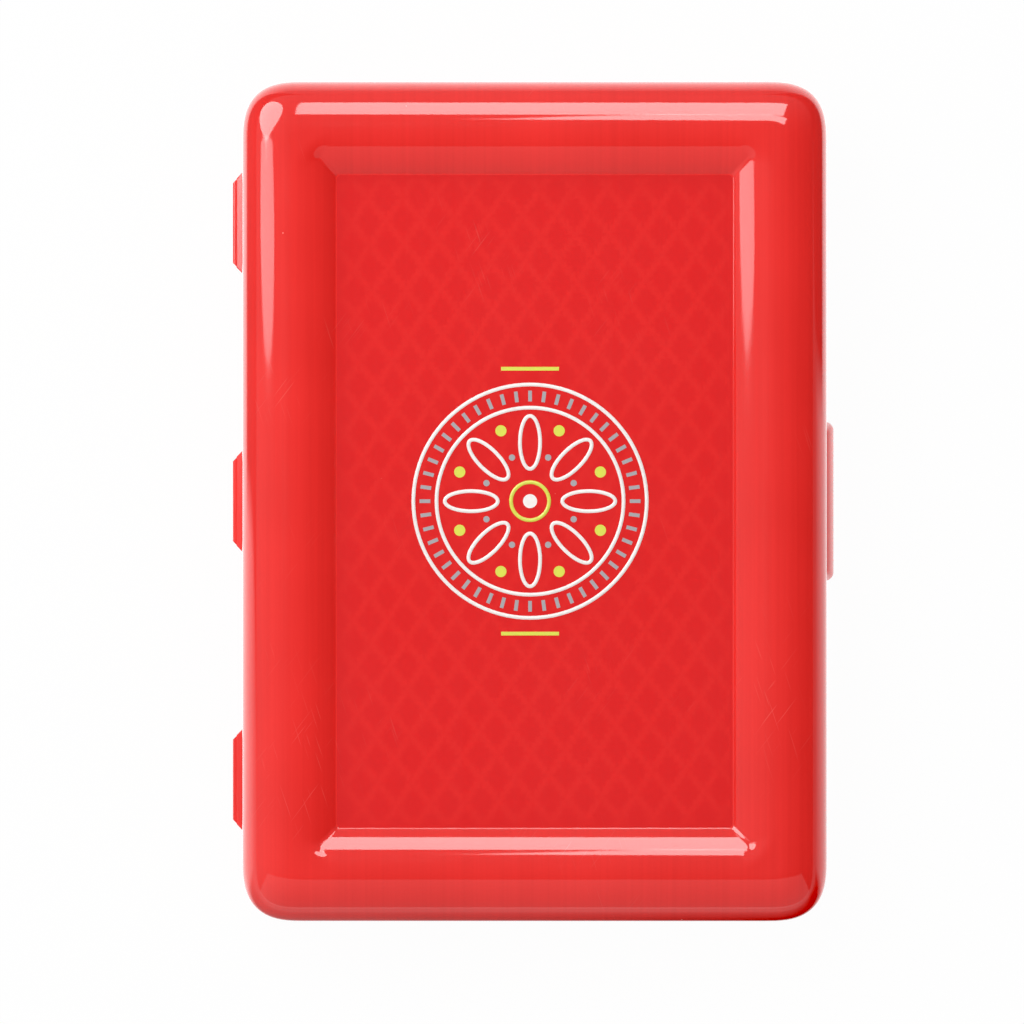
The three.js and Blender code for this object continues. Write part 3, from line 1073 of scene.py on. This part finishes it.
def softbox(
    name, shape, distance, polar_deg, azimuth_deg, width, height, roll_deg, radiance, seen_in="gloss"
):
    """A lamp of an even brightness, where 1 is white, that faces the middle of the case. The polar angle is
    from straight up, and the azimuth from +X. It shows in the gloss, or lights the body, or does both"""
    data = bpy.data.lights.new(name, "AREA")
    data.shape = shape
    data.size = width
    data.size_y = height
    filled = math.pi / 4 if shape == "ELLIPSE" else 1
    data.energy = radiance * math.pi * width * height * filled
    lamp = bpy.data.objects.new(name, data)
    lamp.visible_diffuse = seen_in != "gloss"
    lamp.visible_glossy = seen_in != "body"
    bpy.context.scene.collection.objects.link(lamp)
    polar = math.radians(polar_deg)
    azimuth = math.radians(azimuth_deg)
    level = Vector((math.cos(azimuth), math.sin(azimuth), 0)) * math.sin(polar)
    away = (level + Vector((0, 0, math.cos(polar)))) * distance
    facing = (-away).to_track_quat("-Z", "Y").to_matrix().to_4x4()
    roll = Matrix.Rotation(math.radians(roll_deg), 4, "Z")
    lamp.matrix_world = Matrix.Translation(LIGHT_AIM + away) @ facing @ roll


def studio_light():
    softbox(
        "key_softbox", "RECTANGLE", distance=450 * MM, polar_deg=30, azimuth_deg=137,
        width=300 * MM, height=300 * MM, roll_deg=0, radiance=3.3, seen_in="body",
    )
    softbox(
        "left_softbox", "ELLIPSE", distance=558 * MM, polar_deg=60.6, azimuth_deg=172.8,
        width=60 * MM, height=340 * MM, roll_deg=2, radiance=4, seen_in="both",
    )
    softbox(
        "corner_umbrella", "ELLIPSE", distance=560 * MM, polar_deg=66.3, azimuth_deg=142.1,
        width=564 * MM, height=464 * MM, roll_deg=4.8, radiance=6.7,
    )
    softbox(
        "back_softbox", "RECTANGLE", distance=525 * MM, polar_deg=54.1, azimuth_deg=81.8,
        width=254 * MM, height=264 * MM, roll_deg=-0.2, radiance=6.7,
    )
    softbox(
        "back_strip", "RECTANGLE", distance=511 * MM, polar_deg=33.7, azimuth_deg=68.5,
        width=207 * MM, height=110 * MM, roll_deg=-0.9, radiance=6.7,
    )
    softbox(
        "front_wall", "RECTANGLE", distance=294 * MM, polar_deg=60, azimuth_deg=270,
        width=1100 * MM, height=418 * MM, roll_deg=0, radiance=0.52,
    )


def studio_world():
    """White where the camera sees it. It lights the case evenly. In gloss it is a dim room: paler to the
    left and the back, and dark to the right"""
    world = bpy.data.worlds.new("studio")
    world.use_nodes = True
    tree = world.node_tree
    tree.nodes.clear()
    direction = add(tree, "ShaderNodeTexCoord").outputs["Generated"]
    axes = add(tree, "ShaderNodeSeparateXYZ", {"Vector": direction})
    to_side = add(tree, "ShaderNodeMath", {0: axes.outputs["X"]}, operation="ABSOLUTE")
    in_gloss = sloped(
        tree,
        ROOM_LEVEL,
        (axes.outputs["X"], ROOM_TO_RIGHT),
        (to_side, ROOM_TO_SIDES),
        (axes.outputs["Y"], ROOM_TO_BACK),
    )
    path = add(tree, "ShaderNodeLightPath")
    level = EVEN_LIGHT
    for ray, seen_level in (("Is Glossy Ray", in_gloss), ("Is Camera Ray", 1.0)):
        level = add(
            tree,
            "ShaderNodeMix",
            {"Factor": path.outputs[ray], "A": level, "B": seen_level},
            data_type="FLOAT",
        )
    strength = add(tree, "ShaderNodeMath", {0: level, 1: LEAST_LIGHT}, operation="MAXIMUM")
    background = add(tree, "ShaderNodeBackground", {"Color": (1, 1, 1, 1), "Strength": strength})
    add(tree, "ShaderNodeOutputWorld", {"Surface": background})
    bpy.context.scene.world = world


def painted_sheet_in_gloss(tree):
    """How bright the sheet glows in gloss, a painted reflection of lit paint: bright close to the case,
    with a painted shadow in front of it, dim beside its back half, and as the room further out"""
    axes = add(tree, "ShaderNodeSeparateXYZ", {"Vector": millimetres(tree)})
    past_case = []
    for axis, half in (("X", HALF_WIDTH), ("Y", HALF_LENGTH)):
        off_middle = add(tree, "ShaderNodeMath", {0: axes.outputs[axis]}, operation="ABSOLUTE")
        past_case.append(add(tree, "ShaderNodeMath", {0: off_middle, 1: half / MM}, operation="SUBTRACT"))
    beside, beyond = past_case
    weighed = add(tree, "ShaderNodeMath", {0: beyond, 1: BEYOND_WEIGHT}, operation="MULTIPLY")
    off_case = add(tree, "ShaderNodeMath", {0: beside, 1: weighed}, operation="MAXIMUM")
    slanted = sloped(tree, axes.outputs["Y"], (axes.outputs["X"], DIM_SLANT))
    reached = []
    for value, (start, end) in (
        (off_case, FAR_AWAY),
        (axes.outputs["Y"], PAINTED_SHADOW_SPAN),
        (beside, DIM_BESIDE),
        (slanted, DIM_BACK),
    ):
        span = {"Value": value, "From Min": start, "From Max": end}
        reached.append(add(tree, "ShaderNodeMapRange", span))
    away, painted_shadow, out_there, at_back = reached
    near = sloped(
        tree,
        NEAR_LEVEL,
        (axes.outputs["Y"], NEAR_TO_BACK),
        (axes.outputs["X"], NEAR_TO_RIGHT),
        (painted_shadow, NEAR_PAINTED_SHADOW),
    )
    near = add(tree, "ShaderNodeMath", {0: near, 1: NEAR_MOST}, operation="MINIMUM")
    flat = add(tree, "ShaderNodeCombineXYZ", {"X": axes.outputs["X"], "Y": axes.outputs["Y"]})
    bearing = add(tree, "ShaderNodeVectorMath", {0: flat}, operation="NORMALIZE")
    sides = add(tree, "ShaderNodeSeparateXYZ", {"Vector": bearing})
    far = sloped(tree, FAR_LEVEL, (sides.outputs["X"], FAR_TO_RIGHT), (sides.outputs["Y"], FAR_TO_BACK))
    dim = sloped(tree, DIM_LEVEL, (sides.outputs["X"], DIM_TO_RIGHT))
    dimmed = add(tree, "ShaderNodeMath", {0: out_there, 1: at_back}, operation="MULTIPLY")
    level = near
    for share, other in ((away, far), (dimmed, dim)):
        level = add(tree, "ShaderNodeMix", {"Factor": share, "A": level, "B": other}, data_type="FLOAT")
    return level


def studio_floor():
    """A white sheet. Most of its white is its own where the camera sees it, so it stays white and keeps a
    soft shadow. In gloss it only glows, with painted light and a painted shadow. It is clear from below"""
    material = new_material("white_sheet")
    tree = material.node_tree
    path = add(tree, "ShaderNodeLightPath")
    seen = path.outputs["Is Camera Ray"]
    in_gloss = path.outputs["Is Glossy Ray"]
    # In gloss the sheet is all glow: painted light near the case and a painted shadow in front of it
    strength = sloped(tree, seen, (painted_sheet_in_gloss(tree), in_gloss))
    share = sloped(tree, in_gloss, (seen, OWN_WHITE))
    paint = add(tree, "ShaderNodeBsdfDiffuse", {"Color": (SHEET_PAINT, SHEET_PAINT, SHEET_PAINT, 1)})
    glow = add(tree, "ShaderNodeEmission", {"Color": (1, 1, 1, 1), "Strength": strength})
    mixed = add(tree, "ShaderNodeMixShader", {0: share, 1: paint, 2: glow})
    from_below = add(tree, "ShaderNodeNewGeometry").outputs["Backfacing"]
    clear = add(tree, "ShaderNodeBsdfTransparent", {"Color": (1, 1, 1, 1)})
    surface = add(tree, "ShaderNodeMixShader", {0: from_below, 1: mixed, 2: clear})
    add(tree, "ShaderNodeOutputMaterial", {"Surface": surface})
    work = bmesh.new()
    below = Matrix.Translation((0, 0, -SHEET_GAP))
    bmesh.ops.create_grid(work, x_segments=1, y_segments=1, size=SHEET_REACH, matrix=below)
    floor = new_piece("floor", finished_mesh(work, "floor"), material)


def main():
    overhead_camera()
    plastic = moulded_plastic("moulded_styrene_butadiene", POLISHED)
    hinge_plastic = moulded_plastic("moulded_styrene_butadiene_bent", BENT)
    # The panel's shades are lighter than the rim's: painted light that makes up for the light its clear
    # share loses to the dim inside of the case
    panel_plastic = moulded_plastic(
        "moulded_styrene_butadiene_panel",
        POLISHED,
        seen_through=PANEL_CLEAR_SHARE,
        shades=("#FD2526", "#FD2A2B"),
    )
    ceiling_plastic = moulded_plastic(
        "moulded_styrene_butadiene_ceiling",
        INSIDE,
        seen_through=CEILING_CLEAR_SHARE,
    )
    lid = lid_shell(plastic, panel_plastic, ceiling_plastic, hinge_plastic)
    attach(lid, "lid")
    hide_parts("lid_shell")
    base = base_shell(plastic, hinge_plastic)
    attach(base, "base")
    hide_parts("base_shell")
    for node in HINGE_NODES:
        strap(node, hinge_plastic)
    card_deck(cut_card_stock(), printed_card_back())
    panel_print(
        pad_printed_ink("pad_printed_white_ink", "#FBF6F2"),
        pad_printed_ink("pad_printed_lime_ink", "#E1E54A"),
        pad_printed_ink("pad_printed_grey_ink", "#A9A7AC"),
    )
    studio_floor()
    studio_light()
    studio_world()
    bpy.context.scene.view_settings.view_transform = "Standard"


main()
